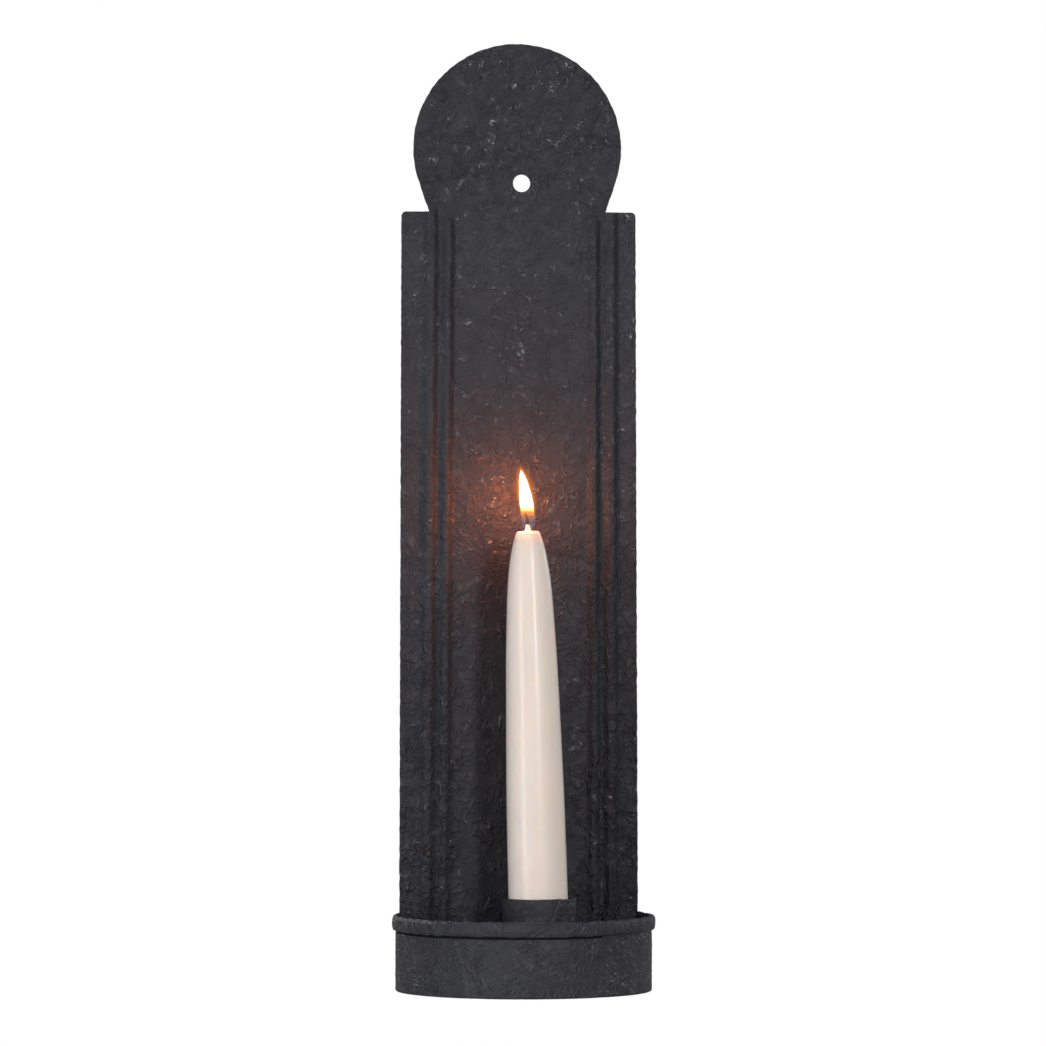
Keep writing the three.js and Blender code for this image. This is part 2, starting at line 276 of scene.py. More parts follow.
class Nodes:
    """Short calls for building a material's node tree."""

    def __init__(self, name):
        self.material = bpy.data.materials.new(name)
        self.material.use_nodes = True
        self.tree = self.material.node_tree
        self.tree.nodes.clear()
        self.output = self.add("ShaderNodeOutputMaterial")

    def add(self, kind, **settings):
        node = self.tree.nodes.new(kind)
        for key, value in settings.items():
            setattr(node, key, value)
        return node

    def link(self, source, target):
        self.tree.links.new(source, target)

    def feed(self, socket, value):
        """A link where value is a socket, and a constant where it isn't."""
        if isinstance(value, bpy.types.NodeSocket):
            self.link(value, socket)
        else:
            socket.default_value = value

    def object_point(self):
        return self.add("ShaderNodeTexCoord").outputs["Object"]

    def maths(self, operation, a, b=0.0, clamp=False):
        node = self.add("ShaderNodeMath", operation=operation, use_clamp=clamp)
        self.feed(node.inputs[0], a)
        self.feed(node.inputs[1], b)
        return node.outputs[0]

    def texture(self, kind, point, size_mm, stretch=(1, 1, 1), **settings):
        """A texture node with features of about size_mm, stretched along the axes."""
        scaled = self.add("ShaderNodeMapping")
        scaled.inputs["Scale"].default_value = [1 / (size_mm * MM * s) for s in stretch]
        self.link(point, scaled.inputs["Vector"])
        node = self.add(kind, **settings)
        node.inputs["Scale"].default_value = 1.0
        self.link(scaled.outputs[0], node.inputs["Vector"])
        return node

    def noise(self, point, size_mm, detail=2.0, roughness=0.5, stretch=(1, 1, 1)):
        node = self.texture("ShaderNodeTexNoise", point, size_mm, stretch)
        node.inputs["Detail"].default_value = detail
        node.inputs["Roughness"].default_value = roughness
        return node

    def noise_value(self, point, *settings):
        """The noise's value, where its colour isn't needed."""
        return self.noise(point, *settings).outputs["Fac"]

    def ranged(self, value, low, high, out_low=0.0, out_high=1.0):
        node = self.add("ShaderNodeMapRange", interpolation_type="SMOOTHSTEP")
        self.link(value, node.inputs["Value"])
        set_range(node, low, high, out_low, out_high)
        return node.outputs["Result"]

    def mixed(self, share, a, b):
        node = self.add("ShaderNodeMix", data_type="RGBA")
        self.feed(node.inputs["Factor"], share)
        self.feed(node.inputs[6], a)
        self.feed(node.inputs[7], b)
        return node.outputs[2]

    def bumped(self, height, distance_mm, strength=1.0):
        """A normal that follows a height."""
        node = self.add("ShaderNodeBump")
        node.inputs["Strength"].default_value = strength
        node.inputs["Distance"].default_value = distance_mm * MM
        self.link(height, node.inputs["Height"])
        return node.outputs["Normal"]

    def surfaced(self, inputs):
        """The finished material: a principled shader with these inputs, linked or constant."""
        shader = self.add("ShaderNodeBsdfPrincipled")
        for key, value in inputs.items():
            self.feed(shader.inputs[key], value)
        self.link(shader.outputs[0], self.output.inputs["Surface"])
        return self.material


def seams_between(nodes, point, size_mm, half_width_mm, stretch=(1, 1, 1)):
    """1 along the walls between cells of about size_mm, falling to 0 at half_width_mm from them."""
    cells = nodes.texture("ShaderNodeTexVoronoi", point, size_mm, stretch, feature="DISTANCE_TO_EDGE")
    return nodes.ranged(cells.outputs["Distance"], 0.0, half_width_mm / size_mm, 1.0, 0.0)


def point_distance(nodes, point, size_mm):
    """How far, in cells of about size_mm, the nearest of some scattered points is."""
    return nodes.texture("ShaderNodeTexVoronoi", point, size_mm, feature="F1").outputs["Distance"]


def curled_lines(nodes, point, size_mm, half_width):
    """Curling ridges: 1 where a noise crosses its middle value."""
    middle = nodes.maths("SUBTRACT", nodes.noise_value(point, size_mm, 1.0, 0.4), 0.5)
    away = nodes.maths("ABSOLUTE", middle)
    return nodes.ranged(away, 0.0, half_width, 1.0, 0.0)


def bent(nodes, point, size_mm, reach_mm):
    """The point pushed about by a noise, so that straight features curl."""
    bend = nodes.noise(point, size_mm, 1.0)
    centred = nodes.add("ShaderNodeVectorMath", operation="SUBTRACT")
    nodes.link(bend.outputs["Color"], centred.inputs[0])
    centred.inputs[1].default_value = [0.5] * 3
    moved = nodes.add("ShaderNodeVectorMath", operation="MULTIPLY_ADD")
    nodes.link(centred.outputs[0], moved.inputs[0])
    moved.inputs[1].default_value = [reach_mm * MM] * 3
    nodes.link(point, moved.inputs[2])
    return moved.outputs[0]


def toned(colour, paleness):
    """The colour made paler by a factor, with full alpha."""
    return (*[channel * paleness for channel in colour], 1)


# How high the paint's veins, curls, small curls, beads, crumples and lumps stand, in mm.
WRINKLE_RISES = (0.2, 0.2, 0.14, 0.16, 0.5, 0.12)
GRAIN_RISE = 0.014

# How much more relief and gloss the paint has on the head, which starts at this share of the height,
# and how much there is on the upper panel.
HEAD_SHARE = (0.78, 0.86)
HEAD_RELIEF = 1.6
HEAD_GLOSS = 3.2
PANEL_RELIEF = 0.9
PANEL_GLOSS = 0.35


def paint_wrinkles(n, point, curled):
    """The veins, curls, small curls, beads, crumples and lumps in the paint, each from 0 to 1."""
    veins = seams_between(n, curled, 5.2, 0.55, (1, 1, 1.5))
    veins = n.maths("MULTIPLY", veins, n.ranged(n.noise_value(point, 7.5, 1.0), 0.48, 0.62))
    curls = curled_lines(n, curled, 4.0, 0.11)
    curls = n.maths("MULTIPLY", curls, n.ranged(n.noise_value(point, 6.2, 1.0), 0.47, 0.6))
    small = curled_lines(n, curled, 2.0, 0.17)
    small = n.maths("MULTIPLY", small, n.ranged(n.noise_value(point, 4.6, 1.0), 0.45, 0.62))
    beads = n.ranged(point_distance(n, curled, 4.2), 0.04, 0.15, 1.0, 0.0)
    crumples = n.maths("SUBTRACT", n.noise_value(curled, 1.6, 3.0, 0.55), 0.5)
    crumples = n.maths("ABSOLUTE", crumples)
    lumps = n.noise_value(curled, 2.8, 2.0, 0.5)
    return veins, curls, small, beads, crumples, lumps


def paint_height(n, wrinkles, grain, way_up, low_relief):
    """The paint's relief in mm. It is laid on thicker low on the sconce and on its head."""
    height = n.maths("MULTIPLY", wrinkles[0], WRINKLE_RISES[0])
    for kind, rise in zip(wrinkles[1:], WRINKLE_RISES[1:]):
        height = n.maths("ADD", height, n.maths("MULTIPLY", kind, rise))
    height = n.maths("MULTIPLY", height, n.ranged(way_up, 0.1, 0.6, low_relief, PANEL_RELIEF))
    height = n.maths("MULTIPLY", height, n.ranged(way_up, *HEAD_SHARE, 1.0, HEAD_RELIEF))
    return n.maths("ADD", height, n.maths("MULTIPLY", grain, GRAIN_RISE))


def textured_paint(name, paleness=1.0, low_relief=2.9, low_gloss=1.4):
    """Satin charcoal paint, worked by hand into fine raised wrinkles with worn, glossy crests, which are
    painted paler as a painted highlight.

    low_relief and low_gloss say how deep the wrinkles and how glossy the crests are low on the sconce.
    paleness makes the whole paint paler, as painted light.
    """
    n = Nodes(name)
    point = n.object_point()
    way_up = by_height(n, plate_low[2], plate_high[2])
    curled = bent(n, bent(n, point, 8.0, 9.0), 2.4, 1.2)
    wrinkles = paint_wrinkles(n, point, curled)
    grain = n.noise_value(point, 0.5, 2.0)
    normal = n.bumped(paint_height(n, wrinkles, grain, way_up, low_relief), 1.0)

    veins, curls, _, beads = wrinkles[:4]
    cloud = n.noise_value(point, 22.0, 4.0, 0.6)
    # paleness lightens these colours; above 1 it is painted light.
    dark = toned((0.0275, 0.0279, 0.0325), paleness)
    light = toned((0.0330, 0.0334, 0.0385), paleness)
    colour = n.mixed(n.ranged(cloud, 0.35, 0.65), dark, light)
    crest = n.maths("MAXIMUM", n.maths("MAXIMUM", veins, curls), beads)
    worn = n.maths("MULTIPLY", crest, n.ranged(n.noise_value(point, 1.9, 1.0), 0.54, 0.64))
    # Painted highlight: the crests are coloured up to 0.3 of the way to a paler grey, for the light they
    # catch.
    colour = n.mixed(n.maths("MULTIPLY", crest, 0.3), colour, toned((0.064, 0.065, 0.073), paleness))
    satin = n.ranged(n.noise_value(curled, 2.6, 3.0, 0.6), 0.3, 0.7, 0.41, 0.5)
    glints = n.maths("MULTIPLY", worn, n.ranged(way_up, 0.2, 0.45, low_gloss, PANEL_GLOSS))
    glints = n.maths("MULTIPLY", glints, n.ranged(way_up, *HEAD_SHARE, 1.0, HEAD_GLOSS), clamp=True)
    return n.surfaced({
        "Base Color": colour,
        "Roughness": n.maths("SUBTRACT", satin, n.maths("MULTIPLY", worn, 0.3)),
        "Normal": normal,
        "Specular IOR Level": 0.19,
        "Specular Tint": (0.93, 0.93, 1.0, 1),
        "Coat Weight": glints,
        "Coat Roughness": 0.18,
        "Coat Normal": normal,
    })


def painted_shade_slit():
    """Painted shade: the slit under the hem is coloured near black, for the shadow under the hem's lip."""
    n = Nodes("painted_shade_slit")
    shade_mottle = n.noise_value(n.object_point(), 1.2, 3.0)
    return n.surfaced({
        # Near-black colour, mottled, as painted shade in the slit.
        "Base Color": n.mixed(shade_mottle, (0.004, 0.004, 0.0045, 1), (0.012, 0.0115, 0.012, 1)),
        "Roughness": n.ranged(shade_mottle, 0.3, 0.7, 0.7, 0.9),
        "Specular IOR Level": 0.1,
    })


def candle_wax():
    """Ivory wax: light goes some way in, with faint upright streaks from the mould and a soft gloss. Its
    top is painted warm, as painted light from the flame.
    """
    n = Nodes("wax")
    point = n.object_point()
    streaks = n.noise_value(point, 2.2, 2.0, 0.5, (1, 1, 18))
    clouds = n.noise_value(point, 14.0, 3.0, 0.6, (1, 1, 2))
    colour = n.mixed(n.ranged(clouds, 0.3, 0.7), (0.865, 0.777, 0.708, 1), (0.845, 0.752, 0.680, 1))
    pores = n.noise_value(point, 0.8, 3.0, 0.7)
    height = n.maths("ADD", n.maths("MULTIPLY", streaks, 0.7), n.maths("MULTIPLY", pores, 0.25))
    flame_glow_share = n.ranged(by_height(n, candle_high[2] - 14 * MM, candle_high[2]), 0.0, 1.0)
    return n.surfaced({
        # Painted light: the top 14 mm is coloured up to 0.6 of the way to a warm peach, for the flame's
        # glow on the wax.
        "Base Color": n.mixed(n.maths("MULTIPLY", flame_glow_share, 0.6), colour, (0.86, 0.68, 0.55, 1)),
        "Roughness": n.ranged(streaks, 0.3, 0.7, 0.17, 0.24),
        "Normal": n.bumped(height, 0.06, 0.6),
        "Specular IOR Level": 0.18,
        "Subsurface Weight": 0.85,
        "Subsurface Radius": (1.0, 0.66, 0.45),
        "Subsurface Scale": 0.005,
    })


def charred_wick():
    """Burnt cotton: black, with a few brown fibres."""
    n = Nodes("wick")
    fibres = n.noise_value(n.object_point(), 0.3, 3.0, 0.6, (1, 1, 3))
    return n.surfaced({
        "Base Color": n.mixed(fibres, (0.006, 0.005, 0.005, 1), (0.045, 0.03, 0.022, 1)),
        "Roughness": n.ranged(fibres, 0.3, 0.7, 0.75, 0.95),
        "Normal": n.bumped(fibres, 0.08),
    })


def by_height(n, low, high):
    """0 at the height low and 1 at high, in the frame's metres."""
    split = n.add("ShaderNodeSeparateXYZ")
    n.link(n.object_point(), split.inputs[0])
    node = n.add("ShaderNodeMapRange")
    n.link(split.outputs["Z"], node.inputs["Value"])
    node.inputs["From Min"].default_value = low
    node.inputs["From Max"].default_value = high
    return node.outputs["Result"]


def ramp(n, value, stops):
    """A colour ramp node with the stops (place, colour with alpha)."""
    node = n.add("ShaderNodeValToRGB")
    n.link(value, node.inputs["Fac"])
    elements = node.color_ramp.elements
    while len(elements) < len(stops):
        elements.new(0.5)
    for element, (place, colour) in zip(elements, stops):
        element.position = place
        element.color = colour
    return node


def flame_light(name, low, high, colours, strength):
    """Glowing gas. Each stop is (share of the height, colour with alpha); alpha is how solid it looks."""
    n = Nodes(name)
    stops = ramp(n, by_height(n, low, high), colours)
    glow = n.add("ShaderNodeEmission")
    n.link(stops.outputs["Color"], glow.inputs["Color"])
    glow.inputs["Strength"].default_value = strength
    clear = n.add("ShaderNodeBsdfTransparent")
    mix = n.add("ShaderNodeMixShader")
    n.link(stops.outputs["Alpha"], mix.inputs[0])
    n.link(clear.outputs[0], mix.inputs[1])
    n.link(glow.outputs[0], mix.inputs[2])
    n.link(mix.outputs[0], n.output.inputs["Surface"])
    return n.material


def pale_floor():
    """Near-white, and lit from within, so that it runs into the white all round."""
    n = Nodes("pale_floor")
    mottle = n.noise_value(n.object_point(), 60.0, 3.0)
    return n.surfaced({
        "Base Color": n.mixed(mottle, (0.86, 0.86, 0.855, 1), (0.89, 0.89, 0.885, 1)),
        "Roughness": 0.8,
        "Emission Color": (1, 1, 1, 1),
        "Emission Strength": FLOOR_GLOW,
    })


# ---- Back plate ----

def rib_rise(x, z):
    """How far the rolled ribs stand forward, in mm. Their lines wander a little, as rolled by hand."""
    side = np.where(x < 0, 40.0, 80.0)
    wander = 0.4 * waves(z / 19, side, 11) + 0.2 * waves(z / 4.5, side, 12)
    out = np.abs(x) + wander + np.where(x < 0, RIB_LEAN * (z / SHOULDER_HEIGHT - 0.4), -0.3)
    rise = np.zeros_like(out)
    for number, (foot, crest, far_crest, far_foot) in enumerate(RIBS):
        up = eased(out + 0.12 * waves(z / 2.2, side, 14 + number), foot, crest)
        down = eased(out + 0.12 * waves(z / 2.2, side, 16 + number), far_crest, far_foot)
        uneven = 1.5 - 0.5 * eased(z, 60, 190) + 0.2 * waves(z / 9, side + 7, 18 + number)
        ends = eased(z, RIB_START, RIB_START + RIB_FADE)
        ends = ends * (1 - eased(z, RIB_ENDS[number] - RIB_FADE, RIB_ENDS[number]))
        rise = np.maximum(rise, RIB_HEIGHT * up * (1 - down) * uneven * ends)
    return rise


def pressed_folds(x, z):
    """How far the folds pressed into the plate by hand stand forward, in mm."""
    p = x + 1.1 * waves(x / 4.5, z / 4.5, 45)
    q = z + 1.1 * waves(x / 4.5, z / 4.5, 46)
    rise = np.zeros_like(x)
    for start_x, start_z, end_x, end_z, height, half_width in PRESSED_FOLDS:
        run_x, run_z = end_x - start_x, end_z - start_z
        share = ((p - start_x) * run_x + (q - start_z) * run_z) / (run_x ** 2 + run_z ** 2)
        share = np.clip(share, 0, 1)
        away = np.hypot(p - start_x - share * run_x, q - start_z - share * run_z)
        rise += height * np.exp(-((away / half_width) ** 2))
    return rise


def panel_grid():
    """The x and z of the panel's vertices, by row, and the columns where the neck's corners are."""
    top_half = PLATE_TOP_HALF - SHOULDER_CORNER
    left, right = (HEAD_X - NECK_HALF) / top_half, (HEAD_X + NECK_HALF) / top_half
    left_cells = round((left + 1) * top_half / CELL)
    middle_cells = round((right - left) * top_half / CELL)
    right_cells = round((1 - right) * top_half / CELL)
    shares = np.concatenate([
        np.linspace(-1, left, left_cells + 1)[:-1],
        np.linspace(left, right, middle_cells + 1)[:-1],
        np.linspace(right, 1, right_cells + 1),
    ])
    straight = SHOULDER_HEIGHT - SHOULDER_CORNER
    rows = list(np.linspace(0, straight, round(straight / CELL) + 1))
    halves = list(PLATE_BOTTOM_HALF + (PLATE_TOP_HALF - PLATE_BOTTOM_HALF) * np.array(rows) / straight)
    for turn in np.radians(SHOULDER_TURNS):
        rows.append(straight + SHOULDER_CORNER * math.sin(turn))
        halves.append(top_half + SHOULDER_CORNER * math.cos(turn))
    x = np.outer(halves, shares)
    z = np.repeat(np.array(rows)[:, None], len(shares), 1)
    return x, z, left_cells, left_cells + middle_cells


def head_grid(cells_across):
    """A patch between the neck line, the two sides and the crown. Its first row is the neck line."""
    drop = HEAD_HEIGHT - SHOULDER_HEIGHT
    reach = math.hypot(NECK_HALF, drop)
    tangent = math.acos(HEAD_RADIUS / reach) - math.atan2(drop, NECK_HALF)
    cells_up = round((drop + HEAD_RADIUS) / CELL)

    def on_arc(angles):
        return np.stack([HEAD_RADIUS * np.cos(angles), drop + HEAD_RADIUS * np.sin(angles)], 1)

    side = np.vstack([[[NECK_HALF, 0]], on_arc(np.linspace(tangent, math.pi / 4, 40))])
    right = resampled(side, 0.02)
    right = right[np.linspace(0, len(right) - 1, cells_up + 1).round().astype(int)]
    left = right * [-1, 1]
    bottom = np.stack([np.linspace(-NECK_HALF, NECK_HALF, cells_across + 1), np.zeros(cells_across + 1)], 1)
    top = on_arc(np.linspace(3 * math.pi / 4, math.pi / 4, cells_across + 1))
    u = np.linspace(0, 1, cells_across + 1)[None, :, None]
    v = np.linspace(0, 1, cells_up + 1)[:, None, None]
    patch = (1 - v) * bottom[None] + v * top[None] + (1 - u) * left[:, None] + u * right[:, None]
    patch -= (1 - u) * (1 - v) * bottom[0] + u * (1 - v) * bottom[-1]
    patch -= (1 - u) * v * top[0] + u * v * top[-1]
    return patch[..., 0] + HEAD_X, patch[..., 1] + SHOULDER_HEIGHT


def plate_sheet():
    """(x, z, quads) of the plate's outline as one flat sheet, with the hanging hole left open."""
    px, pz, neck_left, neck_right = panel_grid()
    hx, hz = head_grid(neck_right - neck_left)
    rows, columns = px.shape
    panel = np.arange(rows * columns).reshape(rows, columns)
    head = np.empty(hx.shape, int)
    head[0] = panel[-1, neck_left:neck_right + 1]
    head[1:] = rows * columns + np.arange(hx[1:].size).reshape(hx[1:].shape)
    x = np.concatenate([px.ravel(), hx[1:].ravel()])
    z = np.concatenate([pz.ravel(), hz[1:].ravel()])
    quads = []
    for grid in (panel, head):
        corners = (grid[:-1, :-1], grid[:-1, 1:], grid[1:, 1:], grid[1:, :-1])
        quads.append(np.stack([c.ravel() for c in corners], 1))
    quads = np.vstack(quads)
    from_hole = np.hypot(x - HOLE_X, z - HOLE_HEIGHT)
    middle = np.hypot(x[quads].mean(1) - HOLE_X, z[quads].mean(1) - HOLE_HEIGHT)
    quads = quads[middle > HOLE_RADIUS]
    edges = open_edges(quads)
    rim = np.unique(edges)
    rim = rim[from_hole[rim] < HOLE_RADIUS + 2 * CELL]
    scale = HOLE_RADIUS / from_hole[rim]
    x[rim] = HOLE_X + (x[rim] - HOLE_X) * scale
    z[rim] = HOLE_HEIGHT + (z[rim] - HOLE_HEIGHT) * scale
    used, quads = np.unique(quads, return_inverse=True)
    return x[used], z[used], quads.reshape(-1, 4)


def open_edges(quads):
    """The directed edges that only one quad has."""
    directed = np.vstack([np.stack([quads[:, k], quads[:, (k + 1) % 4]], 1) for k in range(4)])
    keys = np.sort(directed, 1)
    _, first, counts = np.unique(keys, axis=0, return_index=True, return_counts=True)
    return directed[first[counts == 1]]


def back_plate(material):
    """The one sheet: a front, a back, and walls round its outline and its hole."""
    x, z, quads = plate_sheet()
    edges = open_edges(quads)
    rim = np.unique(edges)
    on_rim = np.zeros(len(x), bool)
    on_rim[rim] = True
    front_y, back_y = plate_depths(x, z)
    front_y[on_rim] += 0.14
    back_y[on_rim] -= 0.1
    edge_x, edge_z = wandering_edge(x, z, on_rim)
    front = np.stack([edge_x, front_y, edge_z], 1)
    back = np.stack([edge_x, back_y, edge_z], 1)
    count = len(x)
    walls = [(int(b), int(a), int(a) + count, int(b) + count) for a, b in edges]
    faces = [tuple(map(int, q)) for q in quads]
    faces += [tuple(int(v) + count for v in reversed(q)) for q in quads]
    piece("plate_sheet", np.vstack([front, back]), faces + walls, material, replaces=["back_plate"])


def plate_depths(x, z):
    """The y of the crinkled front and of the plainer back, in mm."""
    rise = rib_rise(x, z)
    beside_ribs = eased(np.abs(x), 22, 27)
    head = eased(z, SHOULDER_HEIGHT - 4, SHOULDER_HEIGHT + 4)
    low = 1 - eased(z, 60, 190)
    relief = crinkle(x, z, 100) * (0.4 + 0.4 * head + 1.9 * low)
    hatching = crease(x / 5 + 0.4 * waves(x / 3, z / 3, 31), z / 2.6, 0.3, 32)
    relief += beside_ribs * (1 - head) * (0.04 + 0.12 * low) * hatching
    relief += beside_ribs * low * np.where(x > 0, 0.65, 0.15) * crease(x / 3.4, z / 19, 0.22, 33)
    near_rim = eased(np.hypot(x, z - HEAD_HEIGHT), 22, 36) * head
    lumps = np.clip(waves(x / 5, z / 5, 41) - 0.35, 0, 1) * near_rim
    relief += 0.6 * lumps + pressed_folds(x, z)
    behind = 0.10 * waves(x / 12, z / 12, 51) + 0.06 * waves(x / 4, z / 4, 52)
    return -(PLATE_THICKNESS + rise + relief), np.minimum(-rise * 0.95 + 0.06 + behind * 0.5, 0.0)


def wandering_edge(x, z, on_rim):
    """x and z with the sheet's outline, but not its hole, left a little uneven."""
    out = EDGE_WANDER * waves(x / 2.6, z / 2.6, 61) * on_rim
    away = np.hypot(x - HEAD_X, z - HEAD_HEIGHT) + 1e-6
    hole_rim = on_rim & (np.hypot(x - HOLE_X, z - HOLE_HEIGHT) < HOLE_RADIUS + 0.5)
    out[hole_rim] = 0
    in_head = z > SHOULDER_HEIGHT + 0.5
    edge_x = np.where(in_head, x + out * (x - HEAD_X) / away, x + out * np.sign(x))
    edge_z = np.where(in_head, z + out * (z - HEAD_HEIGHT) / away, z)
    return edge_x, edge_z


# ---- Tray ----

def band_profile(softness):
    """The band's section, anticlockwise. softness from 0 to 1 fills the line under the hem with paint."""
    inner = TRAY_INNER
    outer = TRAY_RADIUS + HEM_OUTSTAND
    hem = TRAY_HEIGHT - HEM_HEIGHT
    slit = 0.9 * (1 - softness)
    slit_back = TRAY_RADIUS - SLIT_DEPTH * (1 - softness)
    points = [
        (inner, 0.25), (inner + 0.25, 0.0), (TRAY_RADIUS - 0.25, 0.0), (TRAY_RADIUS, 0.3),
        (TRAY_RADIUS, hem - SLIT_DROP - 0.6 * softness), (slit_back, hem - 0.6), (slit_back, hem + slit),
        (TRAY_RADIUS + 0.2, hem + slit), (TRAY_RADIUS + 0.3, hem + 0.1 * softness),
        (outer - 0.35, hem + 0.05 + 0.3 * softness), (outer - 0.05, hem + 0.7), (outer + 0.1, hem + 2.2),
        (outer, TRAY_HEIGHT - 1.4), (outer - 0.4, TRAY_HEIGHT - 0.45), (TRAY_RADIUS + 0.1, TRAY_HEIGHT),
        (inner + 0.45, TRAY_HEIGHT), (inner + 0.05, TRAY_HEIGHT - 0.4),
    ]
    return np.array(points)


def stations(profile, spacing):
    """For each stretch of a closed profile, how many steps it takes, so that every section matches."""
    steps = np.linalg.norm(np.roll(profile, -1, 0) - profile, axis=1)
    return np.maximum(1, np.round(steps / spacing).astype(int))


def subdivided(profile, counts):
    """A closed profile with each stretch cut into its number of steps."""
    following = np.roll(profile, -1, 0)
    parts = [a + (b - a) * np.linspace(0, 1, n, endpoint=False)[:, None]
             for a, b, n in zip(profile, following, counts)]
    return np.vstack(parts)


def band_relief(profile, angle):
    """How far each point of the band's section stands out at an angle from the front, in mm."""
    along = np.full(len(profile), angle * TRAY_RADIUS)
    radius, height = profile.T
    depth_in = np.where(radius < TRAY_INNER + 0.3, 60.0, 0.0)
    relief = 0.9 * crinkle(along, height + depth_in, 200)
    on_hem = (height > 22.8) & (radius > TRAY_INNER + 0.3)
    dents = 0.24 * waves(along / 4.2, height / 6, 210) + 0.14 * waves(along / 1.7, height / 3, 211)
    relief += dents * on_hem
    in_slit = (np.abs(radius - TRAY_RADIUS) < 0.32) & (np.abs(height - 23.0) < 1.3)
    relief[in_slit] *= 0.1
    flap = (radius > TRAY_RADIUS - 0.1) & (height > 14) & (height < 22.6)
    lap = eased(angle, SEAM_ANGLE - 0.075, SEAM_ANGLE - 0.055)
    lap *= 1 - eased(angle, SEAM_ANGLE, SEAM_ANGLE + 0.012)
    return relief + LAP_RISE * lap * flap * eased(height, 14, 16)


def tray_band(material, crevice):
    """The bent strip. The slit under its hem carries painted shade as far as the seam, where the hem's flap
    laps over.
    """
    end = math.pi - math.acos((TRAY_DEPTH - TRAY_BACK) / (TRAY_RADIUS + HEM_OUTSTAND))
    counts = stations(band_profile(0), CELL)
    sections = []
    steps = round(2 * end * TRAY_RADIUS / CELL)
    angles = np.linspace(-end, end, steps + 1)
    for angle in angles:
        softness = float(eased(angle, SEAM_ANGLE, SEAM_ANGLE + 0.03)) * 0.85
        profile = subdivided(band_profile(softness), counts)
        profile = profile + profile_normals(profile) * band_relief(profile, angle)[:, None]
        section = turned_section(profile, angle, 0.0, TRAY_DEPTH)
        section[:, 1] = np.minimum(section[:, 1], -TRAY_BACK)
        section[:, 2] = np.maximum(section[:, 2], 0.0)
        sections.append(section)
    vertices, faces = lofted(sections)
    band = piece("tray_band_sheet", vertices, faces, material, replaces=["tray_band"])
    # The slit's faces take the painted-shade material.
    band.data.materials.append(crevice)
    first = int(sum(counts[:SLIT_STRETCHES.start]))
    last = int(sum(counts[:SLIT_STRETCHES.stop]))
    around = int(sum(counts))
    for i, angle in enumerate(angles[:-1]):
        if angle < SEAM_ANGLE:
            for j in range(first, last):
                band.data.polygons[i * around + j].material_index = 1


def fillet(corner, size, way=1):
    """The section of a hollow fillet. way is -1 for one that reaches inwards from its corner."""
    bend = [(1.0, 0.0), (0.62, 0.1), (0.34, 0.34), (0.1, 0.62), (0.0, 1.0)]
    reach = FILLET_SIZE * size
    return np.array([corner] + [(corner[0] + way * reach * a, corner[1] + reach * b) for a, b in bend])


def band_seam(material):
    """The fillet round the floor, against the band. Its width wanders."""
    end = math.pi - math.acos((TRAY_DEPTH - TRAY_BACK) / TRAY_INNER)
    sections = []
    for angle in np.linspace(-end, end, 180):
        size = 1 + 0.25 * float(waves(np.array(angle * 6), np.array(71.3), 71))
        profile = fillet((TRAY_INNER + 0.12, FLOOR_TOP - 0.1), size, -1)[::-1]
        section = turned_section(profile, angle, 0.0, TRAY_DEPTH)
        section[:, 1] = np.minimum(section[:, 1], -TRAY_BACK)
        sections.append(section)
    vertices, faces = lofted(sections)
    piece("band_seam", vertices, faces, material, replaces=["band_solder"])


def cup_seam(material):
    """The fillet round the cup's foot."""
    sections = []
    for angle in np.linspace(0, 2 * math.pi, 96, endpoint=False):
        size = 1 + 0.22 * math.sin(3 * angle + 1) * math.sin(2 * angle)
        profile = fillet((CUP_RADIUS - 0.12, FLOOR_TOP - 0.1), size)
        sections.append(turned_section(profile, angle, CUP_X, CUP_DEPTH))
    vertices, faces = lofted(sections, True)
    piece("cup_seam", vertices, faces, material, replaces=["cup_solder"])


def plate_seam(material):
    """The fillet between the floor and the plate."""
    half = math.sqrt((TRAY_INNER - 2.2) ** 2 - (TRAY_DEPTH - TRAY_BACK - 2) ** 2)
    sections = []
    for x in np.linspace(-half, half, 110):
        size = 1 + 0.22 * float(waves(np.array(x / 6), np.array(0.5), 73))
        profile = fillet((0.0, FLOOR_TOP - 0.1), size)
        forward = -TRAY_BACK + 0.1 - profile[:, 0]
        sections.append(np.stack([np.full(len(profile), x), forward, profile[:, 1]], 1))
    vertices, faces = lofted(sections)
    piece("plate_seam", vertices, [f[::-1] for f in faces], material, replaces=["plate_solder"])


def end_seam(side, word, material):
    """The upright seam between the plate and one end of the band."""
    sections = []
    for z in np.linspace(3.2, TRAY_HEIGHT - HEM_HEIGHT + 2, 30):
        size = 1.9 + 0.4 * float(waves(np.array(z / 4), np.array(0.5), 80 + side))
        at_plate = math.sqrt(TRAY_INNER ** 2 - (TRAY_DEPTH - TRAY_BACK) ** 2)
        forward = math.sqrt(TRAY_INNER ** 2 - (TRAY_DEPTH - TRAY_BACK - size) ** 2)
        outline = [
            (at_plate + 0.1, TRAY_BACK - 0.1),
            (at_plate - size, TRAY_BACK),
            (at_plate - size * 0.35, TRAY_BACK + size * 0.35),
            (forward - 0.02, TRAY_BACK + size),
        ]
        sections.append([(side * x, -y, z) for x, y in outline])
    vertices, faces = lofted(sections)
    if side > 0:
        faces = [f[::-1] for f in faces]
    piece(f"end_seam_{word}", vertices, faces, material, replaces=[f"end_solder_{word}"])


# ---- Candle cup ----

